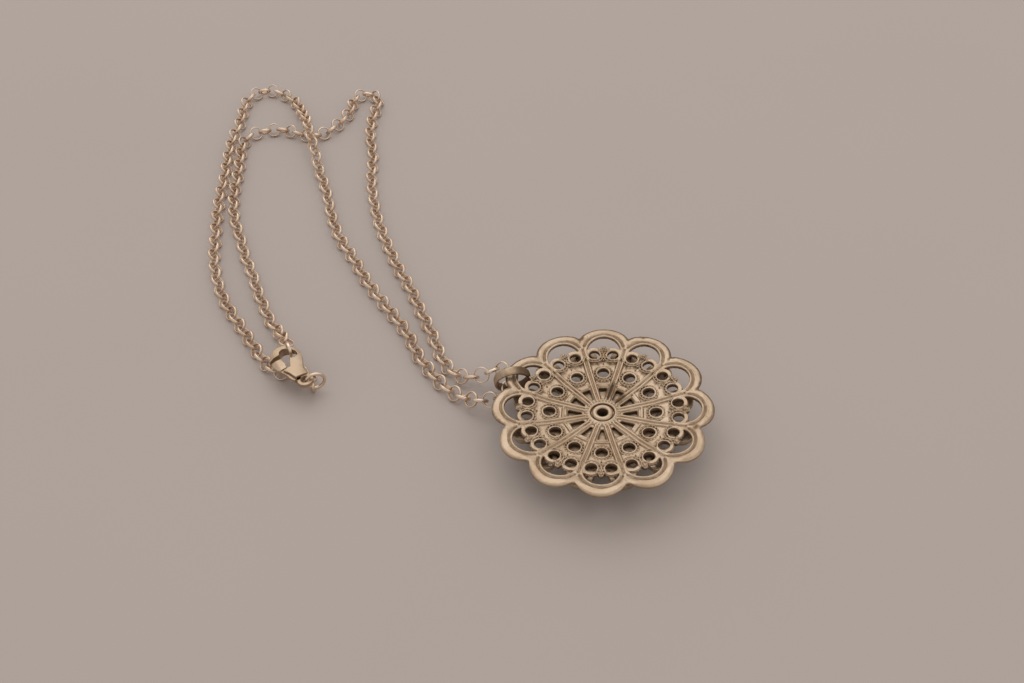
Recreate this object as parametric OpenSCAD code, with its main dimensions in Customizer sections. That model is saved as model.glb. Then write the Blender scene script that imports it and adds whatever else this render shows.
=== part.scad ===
// Gemstone pendant on a belcher chain, lying face down with its pierced back up.
// Millimetres. The origin is on the surface the pendant lies on, under its centre, +Z up.
// +X runs along one petal of the back plate, to the right. The chain lies to the left and away.

/* [Pendant] */
// Width of the back plate across two opposite petals
pendant_d = 45; // [44:0.5:46]
// Height of the back plate's rim above the surface
rim_top = 9; // [8.8:0.1:9.4]
// Thickness of both stamped plates
plate_t = 1; // [0.8:0.05:1]
// Number of petals, ribs and small stones
petals = 12; // [12:1:12]
// How far the hub lies below the rim
dish = 1.9; // [1.6:0.1:2]

/* [Stones] */
// Width of the centre stone
centre_stone_d = 13.4; // [12:0.2:14]
// Width of each small stone
small_stone_d = 4.4; // [4:0.1:4.6]

/* [Chain] */
// Outer width of a round link
link_d = 3.55; // [3.5:0.05:3.6]
// Thickness of a link's band, from its inside to its outside
link_t = 0.3; // [0.25:0.05:0.3]
// Width of a link's band, along the link's own axis
link_w = 0.75; // [0.6:0.05:0.8]
// Distance from link to link along the chain
link_pitch = 2.45; // [2.4:0.05:2.45]

/* [Clasp] */
// Thickness of the clasp body
clasp_t = 2.3; // [2:0.1:2.4]
// Thickness of the lever's blade
lever_blade_t = 1.7; // [1.2:0.1:1.8]

/* [Hidden] */
$fn = 48;

metal = "#c9ad8b";
metal_dark = "#a98c6c";
stone_colour = "#2d5a4f";

// Back plate, in plan
plate_r = pendant_d / 2;
step = 360 / petals;
petal_r = 0.2507 * plate_r;
petal_at = plate_r - petal_r;
window_at = 0.729 * plate_r;
window_r = 0.1556 * plate_r;
panel_r = 0.742 * plate_r;
inner_hole_at = 0.48 * plate_r;
inner_hole_r = 0.0535 * plate_r;
outer_hole_at = 0.682 * plate_r;
outer_hole_r = 0.0515 * plate_r;
outer_hole_turn = 7.32;
collar_w = 0.42;
edge_bead_at = 0.755 * plate_r;
edge_bead_r = 0.55;
slot_from = 0.186 * plate_r;
slot_to = 0.313 * plate_r;
slot_narrow = 0.5;
slot_wide = 1.8;
rib_w = 1.15;
rib_end_at = 0.79 * plate_r;
rib_groove = 0.28;
bar_at = slot_to + 0.75;
bar_w = 0.4;
bar_l = 2.5;
notch_at = petal_at * cos(step / 2) + sqrt(petal_r * petal_r - pow(petal_at * sin(step / 2), 2));
notch_fill_r = 0.45;
crest_at = 0.907 * plate_r;
lip_w = 0.5;
lip_groove = 0.5;
hub_r = 3.55;
hub_groove_r = 2.45;
rivet_bore_r = 1.6;

// Back plate, heights of its raised face and depths of what is sunk in it
hub_top = rim_top - dish;
mid_top = rim_top - 0.86 * dish;
outer_top = rim_top - 0.47 * dish;
relief = 0.3;
rim_t = 0.65;
rim_fall = 0.6;
hub_recess = 0.45;
cut_h = 20;

// Front plate and its settings
front_top = hub_top - plate_t - 0.1;
front_t = 0.8;
front_disc_r = 13.85;
setting_at = 16.2;
setting_r = 2.85;
setting_low = 4.4;
setting_top = front_top + 0.6;
stone_gap = 0.06;
bezel_t = 0.4;
small_crown = 0.8;
small_back = 1.1;
girdle = 0.2;
centre_crown = 1.8;
centre_back = 2.1;
centre_setting_r = centre_stone_d / 2 + 0.75;
vent_at = 11.9;
vent_r = 1.2;
small_vent_at = 10.2;
small_vent_r = 1.1;
window_turn = step / 2;

// Bail
bail_w = 1.9;
bail_t = 0.7;
bail_r = 3.55;
bail_at = [-19.0, 9.4, 6.7];
bail_yaw = 13.3;
bail_lean = 14;

// Chain. Both halves start at the joint of two links inside the bail, and end at the clasp.
lie = (link_d - link_t) / 2 * sin(45) + 0.48 * link_w * cos(45) + 0.02;
bail_pass = [-19.1, 9.0, 5.6];
route_left = [bail_pass,
    [-20.3, 7.0, 5.3], [-22.0, 5.8, 4.8], [-24.3, 5.6, 4.1], [-26.6, 6.5, 3.2], [-28.7, 7.8, 2.3],
    [-31.0, 9.4, 1.6], [-33.0, 11.0, lie], [-35.5, 13.5, lie], [-38.0, 17.0, lie], [-41.0, 21.5, lie],
    [-43.0, 26.0, lie], [-46.0, 31.0, lie], [-49.5, 36.0, lie], [-53.0, 41.0, lie],
    [-56.5, 46.5, lie], [-60.0, 53.0, lie], [-64.5, 60.5, lie], [-68.0, 69.0, lie],
    [-71.0, 79.0, lie], [-74.0, 86.5, 1.8], [-76.0, 93.0, 3.4], [-78.0, 98.0, 4.6],
    [-80.0, 104.5, 4.6], [-83.0, 111.5, 2.4], [-86.0, 117.5, lie], [-89.3, 120.8, lie],
    [-92.7, 123.0, lie], [-96.6, 122.9, lie], [-99.4, 119.6, lie], [-99.9, 114.0, lie],
    [-99.5, 108.0, lie], [-100.0, 101.5, lie], [-99.5, 93.0, lie], [-98.5, 84.5, lie],
    [-98.0, 77.0, lie], [-97.0, 69.0, lie], [-95.5, 60.5, lie], [-94.0, 52.5, lie],
    [-91.0, 44.0, lie], [-87.5, 37.0, lie], [-83.0, 30.5, lie], [-78.5, 24.0, lie],
    [-74.8, 18.8, lie], [-72.6, 16.5, lie], [-70.0, 15.6, lie], [-67.4, 15.9, lie],
    [-65.0, 15.1, lie], [-63.3, 13.2, 1.88], [-62.35, 10.65, 1.88]];
route_right = [bail_pass,
    [-19.3, 11.7, 5.4], [-20.7, 13.7, 5.0], [-23.0, 14.4, 4.5], [-25.4, 13.7, 3.7], [-27.8, 13.4, 2.8],
    [-30.2, 14.4, 2.0],
    [-32.5, 16.0, lie], [-34.5, 18.5, lie], [-36.0, 21.5, lie], [-38.5, 28.0, lie],
    [-42.0, 35.5, lie], [-45.0, 42.5, lie], [-49.0, 50.0, lie], [-52.5, 58.0, lie],
    [-55.5, 65.5, lie], [-58.0, 74.0, lie], [-60.0, 83.0, lie], [-61.0, 93.0, lie],
    [-63.0, 102.0, lie], [-63.5, 110.0, lie], [-62.8, 116.0, lie], [-63.7, 119.6, lie],
    [-66.4, 121.3, lie], [-69.1, 120.0, lie], [-70.0, 116.8, lie], [-69.9, 113.4, lie], [-71.0, 110.3, lie],
    [-72.5, 107.0, lie], [-75.0, 103.5, lie], [-78.5, 102.0, lie], [-82.0, 103.0, lie],
    [-87.0, 105.0, lie], [-91.5, 104.5, lie], [-95.2, 102.8, lie], [-96.7, 99.3, lie],
    [-96.4, 94.5, lie], [-95.7, 89.5, lie], [-95.2, 84.5, lie], [-94.7, 78.5, lie],
    [-93.7, 73.0, lie], [-92.0, 67.0, lie], [-89.0, 60.0, lie], [-86.5, 53.5, lie],
    [-83.5, 47.5, lie], [-81.0, 41.5, lie], [-78.5, 36.5, lie], [-76.0, 31.5, lie],
    [-73.0, 27.5, 1.8], [-71.4, 24.6, 3.2], [-70.1, 22.2, 4.3], [-68.4, 18.8, 4.35]];
// Steps between two route points, the turn of each link about the chain, and how much further
// each of the last links turns to stand upright at the clasp
spline_steps = 12;
link_turn = 45;
end_turn = 22.5;
end_turned = 2;
first_side = -1;

// Clasp, in a plane of its own: X runs from the hook to the tail, the lever is on the -Y side
clasp_at = [-68.7, 17.9, 4.3];
clasp_yaw = -55;
head_at = [0.8, -1.0];
head_r = 3.6;
hole_turn = 55;
hole_half = 0.6;
hole_r = 1.36;
tail_at = [8.72, 0];
tail_r = 1.75;
tail_eye_r = 1.0;
tail_t = 0.9;
crown_r = 8;
pivot_at = [5.6, -1.1];
pivot_r = 0.45;
pivot_t = clasp_t - 0.5;
lever_t = 0.9;
lever_hub_r = 1.1;
fit = 0.08;
face_gap = 0.12;
clasp_ring_wire = 0.7;
clasp_ring_r = 2.05;
clasp_ring_yaw = 23;
clasp_ring_at = [-61.8, 11.36, 3.55];

// A row of the given number of copies round the Z axis
module around(count = petals, turn = 0) {
    for (i = [0:count - 1]) rotate([0, 0, turn + i * 360 / count]) children();
}

// A spline through four points: where it is at t between the middle two
function between(a, b, c, d, t) =
    0.5 * (2 * b + (c - a) * t + (2 * a - 5 * b + 4 * c - d) * t * t + (3 * b - a - 3 * c + d) * t * t * t);
function point(p, i) = p[max(0, min(len(p) - 1, i))];
function spline(p, n) = [for (i = [0:len(p) - 2]) for (j = [0:n - 1])
    between(point(p, i - 1), p[i], p[i + 1], point(p, i + 2), j / n), p[len(p) - 1]];

// Distance along a curve to each of its points
function reach(c) = [for (i = 0, s = 0; i < len(c);
    s = s + (i + 1 < len(c) ? norm(c[i + 1] - c[i]) : 0), i = i + 1) s];

// The joints between links, at equal distances along a route
function joints(route) = let (
    c = spline(route, spline_steps),
    s = reach(c),
    total = s[len(s) - 1],
    count = round(total / link_pitch),
    along = [for (k = [0:2]) [for (i = [0:len(c) - 1]) [s[i], c[i][k]]]])
    [for (i = [0:count]) [for (k = [0:2]) lookup(i * total / count, along[k])]];

// A closed ring of round wire in the XY plane
module ring(r, wire) {
    rotate_extrude() translate([r, 0]) circle(d = wire, $fn = 24);
}

// A closed ring of flat band with eased edges, in the XY plane
module band(r, w, t) {
    ease = 0.15;
    rotate_extrude() polygon([for (side = [-1, 1]) for (p = [
        [t / 2, w / 2 - ease], [t / 2 - ease, w / 2], [-t / 2 + ease, w / 2], [-t / 2, w / 2 - ease]])
        [r + side * p[0], side * p[1]]]);
}

// A round link of half-round band
module link() {
    r = link_d / 2;
    rotate_extrude() polygon([
        [r - link_t, -0.4 * link_w], [r - 0.65 * link_t, -0.5 * link_w], [r, -0.22 * link_w],
        [r, 0.22 * link_w], [r - 0.65 * link_t, 0.5 * link_w], [r - link_t, 0.4 * link_w]]);
}

// One half of the chain: each link's plane leans the other way from the last one's
module strand(route) {
    j = joints(route);
    last = len(j) - 2;
    for (i = [0:last]) {
        side = first_side * (i % 2 == 0 ? 1 : -1);
        end_side = first_side * (last % 2 == 0 ? 1 : -1);
        more = end_side * end_turn * max(0, end_turned - (last - i));
        d = j[i + 1] - j[i];
        translate((j[i] + j[i + 1]) / 2)
            rotate([0, -asin(d[2] / norm(d)), atan2(d[1], d[0])])
            rotate([side * link_turn + more, 0, 0])
            link();
    }
}

// The back plate's form: distance from the axis, height of its raised face, and thickness there
form = [[0, hub_top, plate_t], [hub_r, hub_top, plate_t], [inner_hole_at, mid_top, plate_t],
    [outer_hole_at, outer_top, plate_t], [crest_at, rim_top, rim_t], [plate_r + 1, rim_top - rim_fall, rim_t]];

// Solid of revolution that follows that form, its faces set in from above and from below
module dished(above, below) {
    rotate_extrude() polygon(concat([for (f = form) [f[0], f[1] - f[2] + below]],
        [for (i = [len(form) - 1:-1:0]) [form[i][0], form[i][1] - above]]));
}

// Plan of one rib: two strips that run from the hub out between two petals
module rib_strips() {
    for (side = [-1, 1]) scale([1, side]) polygon([
        [hub_r - 0.3, rib_groove / 2], [hub_r - 0.3, rib_w / 2], [rib_end_at, rib_w / 2],
        [rib_end_at, rib_groove / 2]]);
}

// An upright post at a distance from the axis
module post(at, r) {
    translate([at, 0, 0]) cylinder(r = r, h = cut_h);
}

// The plan of the raised lines, as upright columns
module relief_columns() {
    around(turn = step / 2) linear_extrude(cut_h) rib_strips();
    around() post(inner_hole_at, inner_hole_r + collar_w);
    for (side = [-1, 1]) around(turn = side * outer_hole_turn) post(outer_hole_at, outer_hole_r + collar_w);
    around() post(edge_bead_at, edge_bead_r - 0.1);
    around() translate([bar_at, -bar_l / 2, 0]) cube([bar_w, bar_l, cut_h]);
}

// Round each window, a thin lip and a broad band with a groove between them
module rim_columns() {
    difference() {
        around() difference() {
            post(petal_at, petal_r);
            post(window_at, window_r + lip_w + lip_groove);
        }
        around() post(window_at, window_r + lip_w + lip_groove);
        cylinder(r = panel_r - 0.3, h = cut_h);
    }
    difference() {
        around() post(window_at, window_r + lip_w);
        cylinder(r = panel_r - 0.3, h = cut_h);
    }
}

// The outline of the twelve petals
module flower() {
    cylinder(r = panel_r, h = cut_h);
    around() post(petal_at, petal_r);
}

module window_cut() {
    difference() {
        post(window_at, window_r);
        cylinder(r = panel_r, h = cut_h);
        for (side = [-1, 1]) rotate([0, 0, side * outer_hole_turn]) post(outer_hole_at, outer_hole_r + 0.8);
        post(edge_bead_at, edge_bead_r);
    }
}

module back_plate() {
    color(metal) difference() {
        union() {
            intersection() {
                dished(relief, 0);
                flower();
            }
            intersection() {
                dished(0, 0.1);
                relief_columns();
            }
            intersection() {
                dished(0, 0.1);
                rim_columns();
            }
            translate([0, 0, hub_top - 0.5]) cylinder(r = hub_r, h = 0.62);
            around(turn = step / 2) translate([notch_at - 0.1, 0, rim_top - rim_t + 0.1])
                cylinder(r = notch_fill_r, h = rim_t - 0.35);
        }
        around() window_cut();
        around() post(inner_hole_at, inner_hole_r);
        for (side = [-1, 1]) around(turn = side * outer_hole_turn) post(outer_hole_at, outer_hole_r);
        around() linear_extrude(cut_h) polygon([
            [slot_from, -slot_narrow / 2], [slot_to, -slot_wide / 2],
            [slot_to, slot_wide / 2], [slot_from, slot_narrow / 2]]);
        translate([0, 0, hub_top - hub_recess]) cylinder(r = hub_groove_r, h = 2);
        cylinder(r = rivet_bore_r, h = cut_h);
    }
}

// Heights of the middle of each stone's widest line. The centre stone's table is on the surface.
small_girdle = setting_low + small_crown + girdle / 2;
centre_girdle = centre_crown + girdle / 2;

// A cup with a bearing that the stone's girdle rests against, open at the back
module setting() {
    stone_r = small_stone_d / 2;
    rotate_extrude() polygon([
        [stone_r - 0.55, small_girdle + 1.0], [stone_r + stone_gap, small_girdle + girdle / 2 + stone_gap],
        [stone_r + stone_gap, small_girdle - girdle / 2 - stone_gap], [stone_r - 0.1, small_girdle - 0.5],
        [stone_r + 0.15, small_girdle - 0.6], [stone_r + bezel_t, small_girdle - 0.2],
        [setting_r, setting_top - 0.8], [setting_r, setting_top], [stone_r - 0.55, setting_top]]);
}

// The front's disc with the centre stone's cup under it
module centre_setting() {
    stone_r = centre_stone_d / 2;
    low = front_top - front_t;
    rotate_extrude() polygon([
        [rivet_bore_r, front_top], [front_disc_r, front_top], [front_disc_r, low], [centre_setting_r + 1.2, low],
        [centre_setting_r, low - 0.9], [centre_setting_r, centre_girdle - 0.2],
        [centre_setting_r - 0.3, centre_girdle - 0.6], [stone_r - 0.1, centre_girdle - 0.5],
        [stone_r + stone_gap, centre_girdle - girdle / 2 - stone_gap],
        [stone_r + stone_gap, centre_girdle + girdle / 2 + stone_gap],
        [stone_r - 0.55, centre_girdle + 1.0], [stone_r - 0.55, low], [rivet_bore_r, low]]);
}

module front_plate() {
    color(metal_dark) difference() {
        union() {
            centre_setting();
            around(turn = window_turn) translate([setting_at, 0, 0]) setting();
        }
        around() translate([vent_at, 0, front_top - cut_h / 2]) cylinder(r = vent_r, h = cut_h);
        around(turn = window_turn) translate([small_vent_at, 0, front_top - cut_h / 2])
            cylinder(r = small_vent_r, h = cut_h);
    }
}

// A tubular rivet: a rolled flange on the back plate and a flat one inside the front plate
module rivet() {
    low = front_top - front_t;
    seat = hub_top - hub_recess + 0.08;
    color(metal) rotate_extrude() polygon([
        [1.1, low - 0.4], [2.2, low - 0.4], [2.2, low - 0.05], [1.5, low - 0.05], [1.5, seat], [2.05, seat],
        [2.15, seat + 0.18], [2.1, seat + 0.42], [1.85, seat + 0.62], [1.5, seat + 0.68], [1.2, seat + 0.56],
        [1.1, seat + 0.34]]);
}

// A round cut stone lying on its table: eight-sided table, sixteen-sided girdle, small flat point
module cut_stone(d, crown, back, point_r) {
    color(stone_colour) hull() {
        cylinder(r = 0.29 * d, h = 0.01, $fn = 8);
        translate([0, 0, 0.45 * crown]) rotate([0, 0, 22.5]) cylinder(r = 0.415 * d, h = 0.01, $fn = 8);
        translate([0, 0, crown]) cylinder(r = d / 2, h = girdle, $fn = 16);
        translate([0, 0, crown + girdle + 0.5 * back]) rotate([0, 0, 22.5])
            cylinder(r = 0.27 * d + point_r / 2, h = 0.01, $fn = 8);
        translate([0, 0, crown + girdle + back - 0.01]) cylinder(r = point_r, h = 0.01, $fn = 8);
    }
}

module centre_stone() {
    cut_stone(centre_stone_d, centre_crown, centre_back, 2.4);
}

module small_stone(i) {
    rotate([0, 0, window_turn + (i - 1) * step]) translate([setting_at, 0, setting_low])
        cut_stone(small_stone_d, small_crown, small_back, 0.3);
}

module bail() {
    color(metal) translate(bail_at) rotate([0, 0, bail_yaw]) rotate([90 + bail_lean, 0, 0])
        band(bail_r, bail_w, bail_t);
}

module chain_left() {
    color(metal) strand(route_left);
}

module chain_right() {
    color(metal) strand(route_right);
}

module clasp_ring() {
    color(metal) translate(clasp_ring_at) rotate([0, 0, clasp_ring_yaw]) rotate([90, 0, 0])
        ring(clasp_ring_r, clasp_ring_wire);
}

// Puts children from the clasp's own plane where the clasp lies
module clasp_place() {
    translate(clasp_at) rotate([0, 0, clasp_yaw]) children();
}

// A flat disc at a point of the clasp's plane
module disc_at(p, r, t) {
    translate([p[0], p[1], -t / 2]) cylinder(r = r, h = t);
}

// A flat plate in the clasp's plane
module plate(t, points) {
    translate([0, 0, -t / 2]) linear_extrude(t) polygon(points);
}

// Bounds the clasp above and below by long round backs, so that it thins towards its edges
module crowned() {
    intersection() {
        children();
        crown_side(1);
        crown_side(-1);
    }
}

module crown_side(side) {
    translate([-8, head_at[1], side * (clasp_t / 2 - crown_r)])
        rotate([0, 90, 0]) cylinder(r = crown_r, h = 24, $fn = 96);
}

module clasp_hole() {
    rotate([0, 0, hole_turn]) {
        for (side = [-1, 1]) disc_at([side * hole_half, 0], hole_r, 10);
        cube([2 * hole_half, 2 * hole_r, 10], center = true);
    }
}

module clasp_body() {
    color(metal) clasp_place() difference() {
        union() {
            crowned() union() {
                disc_at(head_at, head_r, clasp_t);
                plate(clasp_t, [[1.6, 2.5], [3.4, 1.9], [5.5, 1.1], [7.6, 1.0],
                    [7.6, -1.6], [5.4, -2.3], [3.4, -3.4], [1.0, -3.0]]);
            }
            disc_at(tail_at, tail_r, tail_t);
        }
        clasp_hole();
        disc_at(tail_at, tail_eye_r, 10);
        // The mouth that the lever closes, and the slot that the lever turns in
        plate(10, [[-0.6, -1.0], [0.2, -1.0], [1.6, -0.3], [4.0, -1.3], [4.0, -6], [0.35, -6], [-0.5, -3.4]]);
        plate(lever_t + 2 * face_gap, [[3.0, 0.2], [6.6, 0.2], [8.0, -0.8], [8.0, -5], [3.0, -5]]);
    }
    color(metal) clasp_place() disc_at(pivot_at, pivot_r, pivot_t);
}

// The lever: a full blade in the mouth, and a thin root with its thumb edge in the slot
module clasp_lever() {
    color(metal) clasp_place() difference() {
        crowned() union() {
            disc_at(pivot_at, lever_hub_r, lever_t);
            plate(lever_t, [[3.5, -1.9], [5.2, -0.1], [5.8, -0.2], [7.5, -1.4], [7.8, -2.0],
                [7.0, -2.5], [5.2, -2.9], [3.5, -3.7]]);
            plate(lever_blade_t, [[3.6, -1.95], [2.2, -1.75], [0.5, -2.05], [0.5, -4.1],
                [1.6, -4.4], [3.2, -4.0], [3.75, -3.7]]);
        }
        disc_at(pivot_at, pivot_r + fit, 10);
    }
}

back_plate();
front_plate();
rivet();
centre_stone();
small_stone(1);  // stone_01
small_stone(2);  // stone_02
small_stone(3);  // stone_03
small_stone(4);  // stone_04
small_stone(5);  // stone_05
small_stone(6);  // stone_06
small_stone(7);  // stone_07
small_stone(8);  // stone_08
small_stone(9);  // stone_09
small_stone(10);  // stone_10
small_stone(11);  // stone_11
small_stone(12);  // stone_12
bail();
chain_left();
chain_right();
clasp_ring();
clasp_body();
clasp_lever();
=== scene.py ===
"""Looks of a gemstone pendant on a belcher chain, lying face down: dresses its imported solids."""
import math

import bpy
import numpy as np
from mathutils import Matrix, Vector


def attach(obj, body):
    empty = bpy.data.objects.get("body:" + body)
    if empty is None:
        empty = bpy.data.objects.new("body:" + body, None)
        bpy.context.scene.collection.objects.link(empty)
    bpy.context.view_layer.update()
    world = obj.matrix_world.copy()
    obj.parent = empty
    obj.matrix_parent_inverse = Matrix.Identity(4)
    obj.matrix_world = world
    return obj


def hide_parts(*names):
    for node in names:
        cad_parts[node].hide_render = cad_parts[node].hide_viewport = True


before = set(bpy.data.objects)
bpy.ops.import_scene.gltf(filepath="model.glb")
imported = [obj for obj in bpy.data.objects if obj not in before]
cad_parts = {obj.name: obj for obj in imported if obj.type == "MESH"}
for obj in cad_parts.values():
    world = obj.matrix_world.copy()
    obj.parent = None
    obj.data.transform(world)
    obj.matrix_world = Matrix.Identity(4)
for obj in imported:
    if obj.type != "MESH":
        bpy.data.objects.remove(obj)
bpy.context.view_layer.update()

bl_info = {
    "name": "Gemstone Pendant",
    "version": (1, 0, 0),
    "blender": (4, 5, 0),
    "location": "3D View > Sidebar > Pendant",
    "description": "Dresses the solids of a cast pendant, its chain and its clasp",
    "category": "Add Mesh",
}

MM = 0.001
RGBA = {"data_type": "RGBA"}
PETALS = 12
STEP = 2 * math.pi / PETALS

# The pendant's sizes are in millimetres: distances from its axis, radii, and heights above the
# surface that it lies on.

# The back plate's outline, openings and raised face
PETAL_AT = 16.86
PETAL_R = 5.64
WINDOW_AT = 16.4
WINDOW_R = 3.5
INNER_HOLE_AT = 10.8
INNER_HOLE_R = 1.2
OUTER_HOLE_AT = 15.35
OUTER_HOLE_R = 1.16
OUTER_HOLE_TURN = math.radians(7.32)
SLOT_END = 7.04
HUB_TOP = 7.1
DISH_AT = (0.0, 3.55, 10.8, 15.35, 20.41, 23.5)
DISH_TOP = (HUB_TOP, HUB_TOP, 7.37, 8.11, 9.0, 8.4)

# The raised line beside each rib and round each window, and the broad rim outside it
LINE_FROM = 3.3
LINE_OFF_RIB = 0.36
LINE_SUNK = 0.12
LINE_WIRE_AT = (LINE_FROM, 8.0, 16.0, 20.4)
LINE_WIRE_R = (0.24, 0.26)
LIP_AT = WINDOW_R + 0.25
LIP_SUNK = 0.17
RIM_FROM = WINDOW_R + 1.0
RIM_DEGREES = 66
RIM_SUNK = 0.3
RIM_EASE = 0.06
RIM_HALF_HEIGHT = 0.36

# Collars round the holes: a ring, a row of beads and a thin ring
INNER_COLLAR_R = INNER_HOLE_R + 0.18
OUTER_COLLAR_R = OUTER_HOLE_R + 0.16
INNER_COLLAR_BEADS = 16
OUTER_COLLAR_BEADS = 14
COLLAR_SUNK = 0.06
COLLAR_WIRE_R = 0.17
COLLAR_GAP = 0.19
THIN_WIRE_GAP = 0.1
THIN_WIRE_R = 0.11

# Between the collars: a fan of beads outside each outer hole, a rosette at each panel's edge with
# a knob on either side, and inside it a ringlet, a row of beads and two cross lines. A bead of the
# row has its distance and its relative size, and a cross line its distance and its half length.
FAN_AT = 1.92
FAN_TURNS = np.radians(np.arange(-70, 71, 20))
FAN_SUNK = 0.3
KNOB_AT = 16.55
KNOB_TURN = 0.052
KNOB_R = 0.3
ROSETTE_AT = 16.99
ROSETTE_R = 0.46
ROSETTE_BEAD_R = 0.32
RINGLET_AT = 15.3
RINGLET_R = 0.34
RINGLET_WIRE_R = 0.14
RINGLET_SUNK = 0.2
ROW_BEADS = ((14.1, 1.4), (13.3, 1.0))
ROW_SUNK = 0.1
CROSS_LINES = ((SLOT_END + 0.42, 1.0), (SLOT_END + 1.02, 1.15))
CROSS_SUNK = 0.14
CROSS_WIRE_R = 0.2

# The hub's row of beads, and its ring
HUB_BEADS = 30
HUB_BEADS_AT = 3.26
HUB_BEADS_HEIGHT = 7.2
HUB_BEAD_R = 0.25
HUB_RING_AT = 2.72
HUB_RING_HEIGHT = 7.14
HUB_RING_WIRE_R = 0.22

# The back plate's painted shade and tarnish: how far down a hollow it fills, and where it starts on
# a wall
HOLLOW_DEPTH = 0.22
WALL_FROM = 0.38
WALL_DEPTH = 0.5
# Where a cloth has missed the tarnish: angle, and nearest and farthest distance from the axis
STREAKS = ((75, 3.8, 8.6), (46, 3.6, 6.6), (67.5, 21.0, 22.6), (104, 19.4, 21.0), (-15, 18.5, 19.6))

# The bail's inner side, where painted shade makes it browner
BAIL_INSIDE_R = 3.45

# The girdles of the stones, above which their facets are lacquered
CENTRE_GIRDLE = 2.0
SMALL_GIRDLE = 5.4

# The table, and the lights in metres and watts: place, width and power
TABLE_HALF = 1500
TABLE_DROP = 0.02
WORLD_COLOUR = "#d9d4cf"
WORLD_STRENGTH = 0.93
LIGHTS = {"window": ((-0.3, 1.1, 1.7), 2.0, 13.0), "fill": ((1.4, -0.5, 1.4), 1.6, 4.0)}

# The camera, where the photograph was taken from: its place in millimetres, and its directions
CAMERA_AT = (4.06, -175.5, 205.2)
CAMERA_AHEAD = (-0.0851, 0.7001, -0.7090)
CAMERA_UP = (-0.0061, 0.7112, 0.7030)
SENSOR_WIDTH = 36
FOCAL_LENGTH = 45.7


# Colours and nodes

def linear(hex_colour):
    """The linear colour of an sRGB hex value."""
    parts = [int(hex_colour[i:i + 2], 16) / 255 for i in (1, 3, 5)]
    return tuple(c / 12.92 if c <= 0.04045 else ((c + 0.055) / 1.055) ** 2.4 for c in parts)


def node(tree, kind, settings=None, stops=(), **inputs):
    """Adds a node, sets its properties and a ramp's grey stops, and fills or links its sockets.

    A socket goes by its name, or by its number after an underscore.
    """
    made = tree.nodes.new("ShaderNode" + kind)
    for name, value in (settings or {}).items():
        setattr(made, name, value)
    if stops:
        elements = made.color_ramp.elements
        while len(elements) < len(stops):
            elements.new(0.5)
        for element, (position, grey) in zip(elements, stops):
            element.position = position
            element.color = (grey, grey, grey, 1)
    for name, value in inputs.items():
        numbered = name[0] == "_" and name[1:].isdigit()
        socket = made.inputs[int(name[1:]) if numbered else name.replace("_", " ")]
        if isinstance(value, bpy.types.NodeSocket):
            tree.links.new(value, socket)
        else:
            socket.default_value = value
    return made


def new_material(name):
    """An empty material, its tree, and the surface node that the finish is set on."""
    material = bpy.data.materials.new(name)
    material.use_nodes = True
    return material, material.node_tree, material.node_tree.nodes["Principled BSDF"]


def plated_metal(name, bright, dull, dark, roughness, grain_mm, uneven_mm, recesses):
    """Brass with a thin warm plating, tumbled: soft highlights, bright and dull in random patches.

    Where the mesh has recess values they darken it towards the dark colour: painted shade in
    hollows, and the brown of tarnished metal.
    The skin's own grain is too fine for the picture to show, so it is drawn coarser than it is.
    """
    material, tree, surface = new_material(name)
    place = node(tree, "TexCoord").outputs["Object"]
    patch_mm, speckle_mm = 5, 0.9
    cloud = node(tree, "TexNoise", Vector=place, Scale=1 / (patch_mm * MM), Detail=4.0,
                 Roughness=0.6).outputs["Fac"]
    grain = node(tree, "TexNoise", Vector=place, Scale=1 / (grain_mm * MM),
                 Detail=3.0).outputs["Fac"]
    patch = node(tree, "ValToRGB", stops=((0.35, 0.0), (0.7, 1.0)), _0=cloud).outputs["Color"]
    colour = node(tree, "Mix", RGBA, _0=patch, _6=(*linear(bright), 1),
                  _7=(*linear(dull), 1)).outputs[2]
    if recesses:
        recess = node(tree, "Attribute", {"attribute_name": "recess"}).outputs["Fac"]
        speckle = node(tree, "TexNoise", Vector=place, Scale=1 / (speckle_mm * MM),
                       Detail=5.0).outputs["Fac"]
        broken = node(tree, "Math", {"operation": "MULTIPLY_ADD"}, _0=speckle, _1=0.9,
                      _2=-0.42).outputs[0]
        depth = node(tree, "Math", {"operation": "ADD"}, _0=recess, _1=broken).outputs[0]
        tarnish_and_shade = node(tree, "ValToRGB", stops=((0.15, 0.0), (0.5, 0.5), (0.95, 0.95)),
                       _0=depth).outputs["Color"]
        colour = node(tree, "Mix", RGBA, _0=tarnish_and_shade, _6=colour,
                      _7=(*linear(dark), 1)).outputs[2]
        duller, most = tarnish_and_shade, min(1.0, roughness + 0.25)
    else:
        duller, most = patch, roughness + 0.08
    matt = node(tree, "MapRange", _0=duller, _3=roughness, _4=most).outputs[0]
    tree.links.new(matt, surface.inputs["Roughness"])
    tree.links.new(colour, surface.inputs["Base Color"])
    bump = node(tree, "Bump", Strength=0.6, Distance=uneven_mm * MM, Height=grain)
    tree.links.new(bump.outputs["Normal"], surface.inputs["Normal"])
    surface.inputs["Metallic"].default_value = 1.0
    return material


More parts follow.
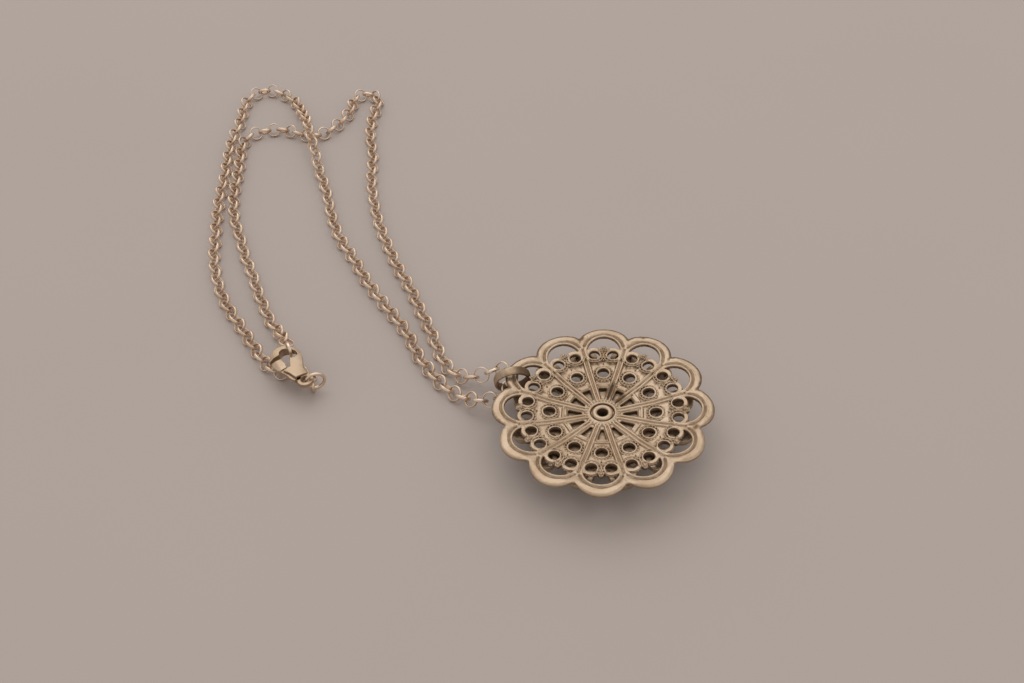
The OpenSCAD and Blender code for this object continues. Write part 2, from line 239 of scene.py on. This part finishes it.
def cut_glass(name, body, foil, girdle_mm):
    """Cut lead glass, very smooth, with its foil's bronze lacquer on the facets above the girdle.

    The stones lie with their tables down, so what the back plate's holes show is the lacquer.
    """
    material, tree, surface = new_material(name)
    place = node(tree, "TexCoord").outputs["Object"]
    cloud = node(tree, "TexNoise", Vector=place, Scale=1 / (6 * MM), Detail=2.0).outputs["Fac"]
    height = node(tree, "SeparateXYZ", _0=place).outputs["Z"]
    backed = node(tree, "MapRange", _0=height, _1=(girdle_mm - 0.05) * MM,
                  _2=(girdle_mm + 0.05) * MM).outputs[0]
    glass = node(tree, "Mix", RGBA, _0=cloud, _6=(*linear(body), 1),
                 _7=(*(0.5 * c for c in linear(body)), 1)).outputs[2]
    shade = node(tree, "Mix", RGBA, _0=backed, _6=glass, _7=(*linear(foil), 1)).outputs[2]
    tree.links.new(shade, surface.inputs["Base Color"])
    for socket, clear, lacquer in (("Roughness", 0.03, 0.4), ("Transmission Weight", 0.35, 0.0)):
        value = node(tree, "MapRange", _0=backed, _3=clear, _4=lacquer).outputs[0]
        tree.links.new(value, surface.inputs[socket])
    surface.inputs["IOR"].default_value = 1.6
    return material


def matt_table(name, colour):
    """A plain, matt, pale table top of painted board, with a very faint unevenness."""
    material, tree, surface = new_material(name)
    place = node(tree, "TexCoord").outputs["Object"]
    cloud = node(tree, "TexNoise", Vector=place, Scale=1 / (60 * MM), Detail=2.0).outputs["Fac"]
    tone = node(tree, "Mix", RGBA, _0=cloud, _6=(*linear(colour), 1),
                _7=(*(0.96 * c for c in linear(colour)), 1))
    tree.links.new(tone.outputs[2], surface.inputs["Base Color"])
    surface.inputs["Roughness"].default_value = 0.75
    return material


# Meshes, made in millimetres

class Heap:
    """Vertices and faces of many small forms, gathered into one mesh."""

    def __init__(self):
        self.points, self.faces, self.count = [], [], 0

    def add(self, points, faces):
        self.points.append(np.asarray(points, float).reshape(-1, 3))
        self.faces += [tuple(int(i) + self.count for i in face) for face in faces]
        self.count += len(self.points[-1])

    def piece(self, name):
        mesh = bpy.data.meshes.new(name)
        mesh.from_pydata((np.vstack(self.points) * MM).tolist(), [], self.faces)
        mesh.validate()
        made = bpy.data.objects.new(name, mesh)
        bpy.context.scene.collection.objects.link(made)
        return made


def tube(path, width, height=None, sides=12):
    """A wire of oval section along open points: radii across and up, for all or for each point."""
    path = np.asarray(path, float)
    count = len(path)
    width = np.broadcast_to(width, (count,))
    height = width if height is None else np.broadcast_to(height, (count,))
    along = np.gradient(path, axis=0)
    along /= np.linalg.norm(along, axis=1)[:, None]
    across = np.cross(along, (0, 0, 1))
    across /= np.linalg.norm(across, axis=1)[:, None]
    up = np.cross(across, along)
    turn = np.arange(sides) * 2 * np.pi / sides
    points = (path[:, None]
              + (width[:, None] * np.cos(turn))[..., None] * across[:, None]
              + (height[:, None] * np.sin(turn))[..., None] * up[:, None])
    faces = []
    for here in range(0, (count - 1) * sides, sides):
        there = here + sides
        faces += [(here + j, here + (j + 1) % sides, there + (j + 1) % sides, there + j)
                  for j in range(sides)]
    faces += [tuple(range(sides))[::-1], tuple((count - 1) * sides + j for j in range(sides))]
    return points.reshape(-1, 3), faces


def ring(centre, radius, wire, across=(1, 0, 0), other=(0, 1, 0), around=32, sides=10,
         tall=None, dome=0.0):
    """A closed ring in the plane of two unit vectors: round wire, or a band of a half height.

    A dome draws in the band's outer side, as on half-round band.
    """
    across, other = np.asarray(across, float), np.asarray(other, float)
    axis = np.cross(across, other)
    turn = np.arange(around) * 2 * np.pi / around
    twist = (np.arange(sides) + 0.5) * 2 * np.pi / sides
    out = np.cos(turn)[:, None] * across + np.sin(turn)[:, None] * other
    square = 1.0 if tall is None else 0.62
    thick = wire * np.sign(np.cos(twist)) * np.abs(np.cos(twist)) ** square
    high = (tall or wire) * np.sign(np.sin(twist)) * np.abs(np.sin(twist)) ** square
    high = high * (1 - dome * np.maximum(0, np.cos(twist)))
    points = (np.asarray(centre, float) + out[:, None] * (radius + thick)[None, :, None]
              + high[None, :, None] * axis)
    faces = []
    for i in range(around):
        here, there = i * sides, (i + 1) % around * sides
        faces += [(here + j, there + j, there + (j + 1) % sides, here + (j + 1) % sides)
                  for j in range(sides)]
    return points.reshape(-1, 3), faces


def ball(centre, radius, flat=1.0, around=10, rows=6):
    """A bead, which may be flattened upwards."""
    lift = np.pi * np.arange(1, rows) / rows
    turn = np.arange(around) * 2 * np.pi / around
    shell = np.stack([np.outer(np.sin(lift), np.cos(turn)), np.outer(np.sin(lift), np.sin(turn)),
                      np.outer(np.cos(lift), np.ones(around))], axis=-1).reshape(-1, 3)
    points = np.vstack([[[0, 0, 1]], shell, [[0, 0, -1]]]) * radius * np.array([1, 1, flat])
    points = points + np.asarray(centre)
    last = len(points) - 1
    faces = [(0, 1 + j, 1 + (j + 1) % around) for j in range(around)]
    for i in range(rows - 2):
        a, b = 1 + i * around, 1 + (i + 1) * around
        faces += [(a + j, b + j, b + (j + 1) % around, a + (j + 1) % around)
                  for j in range(around)]
    a = 1 + (rows - 2) * around
    faces += [(last, a + (j + 1) % around, a + j) for j in range(around)]
    return points, faces


def solid_copy(name, cad_node):
    """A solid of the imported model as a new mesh, with its triangles' corners merged."""
    heap = Heap()
    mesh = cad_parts[cad_node].data
    heap.add(np.array([v.co for v in mesh.vertices], float) / MM,
             [tuple(p.vertices) for p in mesh.polygons])
    made = heap.piece(name)
    weld = made.modifiers.new("weld", "WELD")
    weld.merge_threshold = 0.002 * MM
    return made


def as_cast(piece, cell_mm, rounds, most):
    """Gives a piece the soft edges of a casting, and keeps it under a number of triangles."""
    remesh = piece.modifiers.new("skin", "REMESH")
    remesh.mode = "VOXEL"
    remesh.voxel_size = cell_mm * MM
    remesh.use_smooth_shade = True
    soft = piece.modifiers.new("tumbled", "SMOOTH")
    soft.factor = 0.5
    soft.iterations = rounds
    settle(piece)
    triangles = 2 * len(piece.data.polygons)
    if triangles > most:
        thin = piece.modifiers.new("thin", "DECIMATE")
        thin.ratio = most / triangles
        settle(piece)
    piece.data.shade_smooth()
    return piece


def settle(piece):
    """Makes a piece's modifiers part of its mesh."""
    graph = bpy.context.evaluated_depsgraph_get()
    graph.update()
    mesh = bpy.data.meshes.new_from_object(piece.evaluated_get(graph))
    piece.modifiers.clear()
    piece.data = mesh


def join(piece, heap):
    """Adds the forms of a heap to a piece's own mesh."""
    if piece.modifiers:
        settle(piece)
    whole = Heap()
    whole.add(np.array([v.co for v in piece.data.vertices], float) / MM,
              [tuple(p.vertices) for p in piece.data.polygons])
    whole.add(np.vstack(heap.points), heap.faces)
    name = piece.name
    bpy.data.objects.remove(piece)
    return whole.piece(name)


def dress(piece, material, body, slot, *replaced):
    """Gives a piece its finish, the body that it moves with, and the solids that it stands for."""
    piece.data.materials.append(material)
    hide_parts(*replaced)
    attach(piece, body)


def refinish(cad_node, material):
    """Gives a faceted solid that is shown as it is its finish."""
    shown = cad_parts[cad_node]
    for each in shown.material_slots:
        each.material = material
    shown.data.shade_flat()


def write_recess(piece, values):
    """Stores how dark each vertex is made, from 0 to 1, as painted shade and tarnished metal."""
    attribute = piece.data.attributes.new("recess", "FLOAT", "POINT")
    attribute.data.foreach_set("value", np.clip(values, 0, 1).astype(np.float32))


def corners(piece):
    """A piece's vertices in millimetres."""
    flat = np.zeros(3 * len(piece.data.vertices))
    piece.data.vertices.foreach_get("co", flat)
    return flat.reshape(-1, 3) / MM


# The back plate's relief

def dish(distance):
    """Height of the back plate's raised face at a distance from its axis."""
    return np.interp(distance, DISH_AT, DISH_TOP)


def polar(distance, angle, height=None):
    """A point at a distance and an angle, on the raised face if no height is given."""
    z = dish(distance) if height is None else height
    return np.array([distance * math.cos(angle), distance * math.sin(angle), z])


def turned(points, angle):
    """Points turned about the pendant's axis."""
    c, s = math.cos(angle), math.sin(angle)
    return np.asarray(points) @ np.array([[c, s, 0], [-s, c, 0], [0, 0, 1]])


def petal_outline(sizes):
    """One raised line: out beside a rib, round the petal's window, and back beside the next."""
    lean = STEP / 2
    rib = np.array([math.cos(lean), math.sin(lean)])
    inward = np.array([math.sin(lean), -math.cos(lean)])
    foot = WINDOW_AT * math.cos(lean)
    foot_off_rib = WINDOW_AT * math.sin(lean) - LIP_AT
    line = []
    for distance in np.linspace(LINE_FROM, foot, 40)[:-1]:
        part = (foot_off_rib - LINE_OFF_RIB) * (distance - LINE_FROM) / (foot - LINE_FROM)
        off = LINE_OFF_RIB + part
        line.append([*(distance * rib + off * inward), dish(distance) - LINE_SUNK])
    arc = []
    for angle in np.linspace(math.pi / 2 + lean, -math.pi / 2 - lean, 60):
        x, y = WINDOW_AT + LIP_AT * math.cos(angle), LIP_AT * math.sin(angle)
        arc.append([x, y, dish(math.hypot(x, y)) - LIP_SUNK])
    back = [[x, -y, z] for x, y, z in line[::-1]]
    path = np.array(line + arc + back)
    lip_r = sizes.lip_wire / MM / 2
    wire = np.interp(np.hypot(path[:, 0], path[:, 1]), LINE_WIRE_AT, (*LINE_WIRE_R, lip_r, lip_r))
    return path, wire


def rim_band():
    """One petal's broad rounded rim, from notch to notch: middle line, half width and height."""
    path, half = [], []
    for angle in np.radians(np.linspace(-RIM_DEGREES, RIM_DEGREES, 60)):
        outside = np.array([PETAL_AT + PETAL_R * math.cos(angle), PETAL_R * math.sin(angle)])
        away = outside - (WINDOW_AT, 0)
        inside = np.array((WINDOW_AT, 0)) + RIM_FROM * away / np.linalg.norm(away)
        x, y = (inside + outside) / 2
        path.append([x, y, dish(math.hypot(x, y)) - RIM_SUNK])
        half.append(np.linalg.norm(outside - inside) / 2 - RIM_EASE)
    return np.array(path), np.array(half), np.full(len(half), RIM_HALF_HEIGHT)


def relief(sizes):
    """The back plate's raised forms: the broad ones, cast into it, and the fine beads on it."""
    broad, fine = Heap(), Heap()
    bead = sizes.bead / MM / 2
    outline, wire = petal_outline(sizes)
    band, band_w, band_h = rim_band()
    for i in range(PETALS):
        angle = i * STEP
        broad.add(*tube(turned(outline, angle), wire))
        broad.add(*tube(turned(band, angle), band_w, band_h, 16))
        place = polar(INNER_HOLE_AT, angle)
        collar(broad, fine, place, INNER_COLLAR_R, INNER_COLLAR_BEADS, bead)
        for side in (-1, 1):
            place = polar(OUTER_HOLE_AT, angle + side * OUTER_HOLE_TURN)
            collar(broad, fine, place, OUTER_COLLAR_R, OUTER_COLLAR_BEADS, bead * 0.9)
            broad.add(*ball(polar(KNOB_AT, angle + side * KNOB_TURN), KNOB_R))
            for turn in FAN_TURNS:
                way = np.array([math.cos(angle + turn), math.sin(angle + turn), 0])
                at = place + FAN_AT * way - [0, 0, FAN_SUNK]
                fine.add(*ball(at, bead * 1.3, around=8, rows=5))
        rosette(broad, fine, angle, bead)
        for distance, half in CROSS_LINES:
            turns = np.linspace(-half, half, 7) / distance
            line = np.array([polar(distance / math.cos(t), angle + t) for t in turns])
            broad.add(*tube(line - [0, 0, CROSS_SUNK], CROSS_WIRE_R))
    for i in range(HUB_BEADS):
        place = polar(HUB_BEADS_AT, (i + 0.5) * 2 * math.pi / HUB_BEADS, HUB_BEADS_HEIGHT)
        fine.add(*ball(place, HUB_BEAD_R, 0.9))
    broad.add(*ring((0, 0, HUB_RING_HEIGHT), HUB_RING_AT, HUB_RING_WIRE_R, around=64))
    return broad, fine


def collar(broad, fine, centre, radius, count, bead):
    """A raised ring round a hole, a row of beads outside it, and a thin ring round them."""
    foot = centre - [0, 0, COLLAR_SUNK]
    broad.add(*ring(foot, radius, COLLAR_WIRE_R, around=28, sides=8))
    at = radius + COLLAR_GAP + bead
    for k in range(count):
        turn = 2 * math.pi * k / count
        offset = at * np.array([math.cos(turn), math.sin(turn), 0])
        fine.add(*ball(centre + offset - [0, 0, COLLAR_SUNK / 2], bead, around=8, rows=5))
    fine.add(*ring(foot, at + bead + THIN_WIRE_GAP, THIN_WIRE_R, around=32, sides=6))


def rosette(broad, fine, angle, bead):
    """Beads in a cluster at the panel's edge and in a row inside it, between two outer holes."""
    centre = polar(ROSETTE_AT, angle)
    fine.add(*ball(centre + [0, 0, 0.06], ROSETTE_BEAD_R, 0.9))
    for k in range(5):
        turn = angle + math.pi / 5 + 2 * math.pi * k / 5
        place = centre + ROSETTE_R * np.array([math.cos(turn), math.sin(turn), -0.2])
        fine.add(*ball(place, bead * 1.25))
    centre = polar(RINGLET_AT, angle) - [0, 0, RINGLET_SUNK]
    broad.add(*ring(centre, RINGLET_R, RINGLET_WIRE_R, around=16, sides=8))
    for distance, size in ROW_BEADS:
        fine.add(*ball(polar(distance, angle) - [0, 0, ROW_SUNK], bead * size))


def back_recess(points):
    """How dark each back plate vertex is made: mostly painted shade, by what stands round it."""
    distance = np.hypot(points[:, 0], points[:, 1])
    angle = np.arctan2(points[:, 1], points[:, 0])
    own = points[:, 2] - dish(distance)
    # Painted shade, with some tarnish, for the hollows and the walls below the face
    # Hollow: below the mean of the highest points round about. Deep: on a wall under the face.
    cell, reach = 0.15, 23.4
    place = tuple(((points[:, :2] + reach) / cell).astype(int).T)
    ground = np.full((int(2 * reach / cell) + 2,) * 2, -1.0)
    np.maximum.at(ground, place, own)
    for _ in range(4):
        ground = sum(np.roll(ground, (i, j), (0, 1)) for i in (-1, 0, 1) for j in (-1, 0, 1)) / 9
    hollow = np.clip((ground[place] - own) / HOLLOW_DEPTH, 0, 1)
    deep = np.clip((-own - WALL_FROM) / WALL_DEPTH, 0, 1)
    missed = np.zeros(len(points))
    for at, near, far in STREAKS:
        across = np.radians((np.degrees(angle) - at + 180) % 360 - 180) * distance
        along = (distance - (near + far) / 2) / (far - near)
        missed = np.maximum(missed, 1.2 * np.exp(-(across / 0.6) ** 2 - (2 * along) ** 4))
    # Darker towards +Y: its hollows get more painted shade, its rims a dark edge, and its beads
    # dark gaps
    toward_plus_y = np.clip(0.5 + 0.8 * np.sin(angle), 0, 1)
    local = (angle + STEP / 2) % STEP - STEP / 2
    x, y = distance * np.cos(local), distance * np.sin(local)
    edge = np.clip((np.hypot(x - PETAL_AT, y) - PETAL_R + 0.55) / 0.3, 0, 1) * (distance > 17.5)
    # Painted shade in the groove between the window line and the rim
    from_groove = np.hypot(x - WINDOW_AT, y) - LIP_AT - 0.5
    groove = np.exp(-(from_groove / 0.16) ** 2) * (distance > 17.0)
    return ((0.45 + 0.5 * toward_plus_y) * hollow + 0.7 * deep + missed + 1.1 * edge * toward_plus_y
            + 0.7 * groove)


# Links and rings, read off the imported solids

def loose_rings(cad_node):
    """Centre, plane, mean radius, half thickness and half height of each ring in a node, in mm."""
    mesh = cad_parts[cad_node].data
    points = np.array([v.co for v in mesh.vertices], float) / MM
    key = {}
    owner = np.array([key.setdefault(tuple(p), len(key)) for p in np.round(points, 3).tolist()])
    parent = list(range(len(key)))

    def root(i):
        while parent[i] != i:
            parent[i] = parent[parent[i]]
            i = parent[i]
        return i

    for polygon in mesh.polygons:
        first = root(owner[polygon.vertices[0]])
        for vertex in polygon.vertices[1:]:
            parent[root(owner[vertex])] = first
    groups = {}
    for index, own in enumerate(owner):
        groups.setdefault(root(own), set()).add(index)
    rings = []
    for members in groups.values():
        cloud = np.unique(np.round(points[sorted(members)], 3), axis=0)
        centre = (cloud.max(0) + cloud.min(0)) / 2
        for _ in range(2):
            around = cloud - centre
            _, _, axes = np.linalg.svd(around - around.mean(0), full_matrices=False)
            plane, normal = axes[:2], axes[2]
            middle = ((around @ normal).max() + (around @ normal).min()) / 2
            centre = centre + normal * middle
        radii = np.linalg.norm((cloud - centre) @ plane.T, axis=1)
        wire = (radii.max() - radii.min()) / 2
        tall = np.abs((cloud - centre) @ normal).max()
        rings.append((centre, plane[0], plane[1], radii.max() - wire, wire, tall))
    return rings


def smooth_rings(name, cad_node, around, sides, band=False, dome=0.0):
    """Smooth rings of round wire, or of a flat band, in place of a node's own."""
    heap = Heap()
    for centre, across, other, radius, wire, tall in loose_rings(cad_node):
        heap.add(*ring(centre, radius, wire, across, other, around, sides,
                       tall if band else None, dome))
    made = heap.piece(name)
    made.data.shade_smooth()
    return made


# The settings that a user would change

class PendantSizes(bpy.types.PropertyGroup):
    """Sizes of the cast details"""
    bead: bpy.props.FloatProperty(
        name="Bead", description="Width of the small cast beads", unit="LENGTH",
        default=0.36 * MM, min=0.2 * MM, max=0.6 * MM, precision=5)
    lip_wire: bpy.props.FloatProperty(
        name="Window line", description="Width of the raised line round each window",
        unit="LENGTH", default=0.54 * MM, min=0.3 * MM, max=0.8 * MM, precision=5)
    cast_cell: bpy.props.FloatProperty(
        name="Casting detail", description="Smallest form that the casting shows",
        unit="LENGTH", default=0.12 * MM, min=0.08 * MM, max=0.3 * MM, precision=5)


class PendantColours(bpy.types.PropertyGroup):
    """Colours of the metal, the glass and the table"""
    bright: bpy.props.StringProperty(
        name="Bright metal", description="Worn plating, as sRGB hex", default="#c1ac95")
    dull: bpy.props.StringProperty(
        name="Dull metal", description="Untouched plating, as sRGB hex", default="#ad957b")
    polished: bpy.props.StringProperty(
        name="Polished metal", description="The chain, as sRGB hex", default="#ecd7c2")
    rubbed: bpy.props.StringProperty(
        name="Rubbed metal", description="Patches on the chain, as sRGB hex", default="#d4b9a0")
    # The dark colour: real tarnish, and painted shade in hollows and recesses
    tarnish_and_shade: bpy.props.StringProperty(
        name="Tarnish", description="Deep recesses, as sRGB hex", default="#75604b")
    centre_glass: bpy.props.StringProperty(
        name="Centre glass", description="Body of the large stone, as sRGB hex",
        default="#46543a")
    small_glass: bpy.props.StringProperty(
        name="Small glass", description="Body of the small stones, as sRGB hex",
        default="#1f4a44")
    lacquer: bpy.props.StringProperty(
        name="Lacquer", description="Paint on the stones' foils, as sRGB hex",
        default="#94795f")
    table: bpy.props.StringProperty(
        name="Table", description="Surface under the pendant, as sRGB hex", default="#b5aaa4")


# One operator for each piece or group of like pieces

class PENDANT_OT_stage(bpy.types.Operator):
    """Add the table, the light and the camera"""
    bl_idname = "pendant.stage"
    bl_label = "Table, light and camera"

    def execute(self, context):
        scene = context.scene
        heap = Heap()
        heap.add([[x * TABLE_HALF, y * TABLE_HALF, -TABLE_DROP]
                  for x, y in ((-1, -1), (1, -1), (1, 1), (-1, 1))], [(0, 1, 2, 3)])
        table = heap.piece("table_top")
        table.data.materials.append(matt_table("painted board, matt", scene.pendant_colours.table))
        # Plain, soft daylight, much the same all round, so the metal's lights and darks stay close
        scene.view_settings.view_transform = "Standard"
        world = bpy.data.worlds.new("studio")
        world.use_nodes = True
        sky = world.node_tree.nodes["Background"].inputs
        sky["Color"].default_value = (*linear(WORLD_COLOUR), 1)
        sky["Strength"].default_value = WORLD_STRENGTH
        scene.world = world
        for name, (at, size, power) in LIGHTS.items():
            light = bpy.data.lights.new(name, "AREA")
            light.size = size
            light.energy = power
            lamp = bpy.data.objects.new(name, light)
            lamp.location = at
            lamp.rotation_euler = (-Vector(at)).to_track_quat("-Z", "Y").to_euler()
            scene.collection.objects.link(lamp)
        lens = bpy.data.cameras.new("camera")
        lens.sensor_width = SENSOR_WIDTH
        lens.lens = FOCAL_LENGTH
        lens.clip_start = 0.01
        camera = bpy.data.objects.new("camera", lens)
        ahead = Vector(CAMERA_AHEAD).normalized()
        side = ahead.cross(Vector(CAMERA_UP)).normalized()
        camera.matrix_world = (Matrix.Translation(Vector(CAMERA_AT) * MM)
                               @ Matrix((side, side.cross(ahead), -ahead)).transposed().to_4x4())
        scene.collection.objects.link(camera)
        scene.camera = camera
        return {"FINISHED"}


class PENDANT_OT_back_plate(bpy.types.Operator):
    """Dress the pierced back plate with its cast lines and beads, and the rivet at its hub"""
    bl_idname = "pendant.back_plate"
    bl_label = "Back plate"

    def execute(self, context):
        sizes, colours = context.scene.pendant_sizes, context.scene.pendant_colours
        # Cast and tumbled: broad soft glints on an uneven skin; painted shade and tarnish brown
        # every hollow
        metal = plated_metal("plated brass, cast and tumbled", colours.bright, colours.dull,
                             colours.tarnish_and_shade, roughness=0.42, grain_mm=0.5, uneven_mm=0.15,
                             recesses=True)
        broad, fine = relief(sizes)
        plate = join(solid_copy("back_plate_cast", "back_plate"), broad)
        plate = as_cast(plate, cell_mm=sizes.cast_cell / MM, rounds=2, most=130000)
        plate = join(plate, fine)
        plate.data.shade_smooth()
        write_recess(plate, back_recess(corners(plate)))
        dress(plate, metal, "necklace", "pendant_metal", "back_plate")
        rivet = as_cast(solid_copy("rivet_spun", "rivet"), cell_mm=0.06, rounds=3, most=40000)
        # Painted shade: the rivet is dark down its bore
        depth = HUB_TOP - 0.05 - corners(rivet)[:, 2]
        write_recess(rivet, depth / 1.2)
        dress(rivet, metal, "necklace", "pendant_metal", "rivet")
        return {"FINISHED"}


class PENDANT_OT_front(bpy.types.Operator):
    """Dress the front plate with its settings, and the cut stones"""
    bl_idname = "pendant.front"
    bl_label = "Front plate and stones"

    def execute(self, context):
        colours = context.scene.pendant_colours
        # Cast and left unpolished: duller than the back, with a little tarnish all over
        metal = plated_metal("plated brass, cast, unpolished", colours.bright, colours.dull,
                             colours.tarnish_and_shade, roughness=0.45, grain_mm=0.5, uneven_mm=0.12,
                             recesses=True)
        front = as_cast(solid_copy("front_plate_cast", "front_plate"),
                        cell_mm=0.13, rounds=2, most=120000)
        # Painted shade: darker higher up, under the back plate
        inside = np.clip((corners(front)[:, 2] - 4.0) / 2.0, 0, 1)
        write_recess(front, 0.1 + 0.15 * inside)
        dress(front, metal, "necklace", "setting_metal", "front_plate")
        olive = cut_glass("cut glass, olive, foiled", colours.centre_glass, colours.lacquer,
                          CENTRE_GIRDLE)
        teal = cut_glass("cut glass, teal, foiled", colours.small_glass, colours.lacquer,
                         SMALL_GIRDLE)
        refinish("centre_stone", olive)
        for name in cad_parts:
            if name.startswith("stone_"):
                refinish(name, teal)
        return {"FINISHED"}


class PENDANT_OT_bail(bpy.types.Operator):
    """Ease the edges of the bail, which has painted shade towards +X and on its inner side"""
    bl_idname = "pendant.bail"
    bl_label = "Bail"

    def execute(self, context):
        colours = context.scene.pendant_colours
        # Bent from smooth band: a clean streak of light, and painted shade at one end and inside
        metal = plated_metal("plated brass band, bent and soldered", colours.bright, colours.dull,
                             colours.tarnish_and_shade, roughness=0.45, grain_mm=0.5, uneven_mm=0.06,
                             recesses=True)
        bail = smooth_rings("bail_band", "bail", around=96, sides=24, band=True)
        points = corners(bail)
        middle = (points.max(0) + points.min(0)) / 2
        # Painted shade: darker towards +X, and inside the band
        painted_shade_end = np.clip((points[:, 0] - middle[0] - 0.2) / 1.6, 0, 1)
        inside = np.linalg.norm(points - middle, axis=1) < BAIL_INSIDE_R
        write_recess(bail, 0.2 + 0.75 * painted_shade_end + 0.5 * inside)
        dress(bail, metal, "necklace", "chain_metal", "bail")
        return {"FINISHED"}


class PENDANT_OT_chain(bpy.types.Operator):
    """Round the edges of the chain's flat links, and smooth the clasp's ring"""
    bl_idname = "pendant.chain"
    bl_label = "Chain"

    def execute(self, context):
        colours = context.scene.pendant_colours
        # Rolled band, kept bright by wear: the smoothest metal here, with small sharp glints
        metal = plated_metal("plated brass band, rolled and soldered", colours.polished,
                             colours.rubbed, colours.tarnish_and_shade, roughness=0.3, grain_mm=0.5,
                             uneven_mm=0.02, recesses=False)
        for name in ("chain_left", "chain_right"):
            links = smooth_rings(name + "_links", name, around=32, sides=12, band=True, dome=0.55)
            dress(links, metal, "necklace", "chain_metal", name)
        wire = smooth_rings("clasp_ring_wire", "clasp_ring", around=64, sides=16)
        dress(wire, metal, "necklace", "chain_metal", "clasp_ring")
        return {"FINISHED"}


class PENDANT_OT_clasp(bpy.types.Operator):
    """Soften the clasp and its lever"""
    bl_idname = "pendant.clasp"
    bl_label = "Clasp"

    def execute(self, context):
        colours = context.scene.pendant_colours
        # Cast and polished, then handled: smooth, with a soft shine and no dark hollows
        metal = plated_metal("plated brass, cast and polished", colours.bright, colours.dull,
                             colours.tarnish_and_shade, roughness=0.4, grain_mm=0.6, uneven_mm=0.05,
                             recesses=False)
        body = as_cast(solid_copy("clasp_body_cast", "clasp_body"),
                       cell_mm=0.065, rounds=10, most=130000)
        dress(body, metal, "necklace", "clasp_metal", "clasp_body")
        lever = as_cast(solid_copy("clasp_lever_cast", "clasp_lever"),
                        cell_mm=0.06, rounds=8, most=60000)
        dress(lever, metal, "lever", "clasp_metal", "clasp_lever")
        return {"FINISHED"}


class PENDANT_PT_panel(bpy.types.Panel):
    """The pendant's settings and steps, in the sidebar"""
    bl_label = "Gemstone Pendant"
    bl_idname = "PENDANT_PT_panel"
    bl_space_type = "VIEW_3D"
    bl_region_type = "UI"
    bl_category = "Pendant"

    def draw(self, context):
        for group in (context.scene.pendant_sizes, context.scene.pendant_colours):
            box = self.layout.box()
            for name in group.__annotations__:
                box.prop(group, name)
        for step in STEPS:
            self.layout.operator(step.bl_idname)


STEPS = (PENDANT_OT_stage, PENDANT_OT_back_plate, PENDANT_OT_front, PENDANT_OT_bail,
         PENDANT_OT_chain, PENDANT_OT_clasp)
CLASSES = (PendantSizes, PendantColours, *STEPS, PENDANT_PT_panel)


def register():
    for each in CLASSES:
        bpy.utils.register_class(each)
    bpy.types.Scene.pendant_sizes = bpy.props.PointerProperty(type=PendantSizes)
    bpy.types.Scene.pendant_colours = bpy.props.PointerProperty(type=PendantColours)


def unregister():
    del bpy.types.Scene.pendant_sizes
    del bpy.types.Scene.pendant_colours
    for each in reversed(CLASSES):
        bpy.utils.unregister_class(each)


def main():
    register()
    bpy.ops.pendant.stage()
    bpy.ops.pendant.back_plate()
    bpy.ops.pendant.front()
    bpy.ops.pendant.bail()
    bpy.ops.pendant.chain()
    bpy.ops.pendant.clasp()


if __name__ == "__main__":
    main()
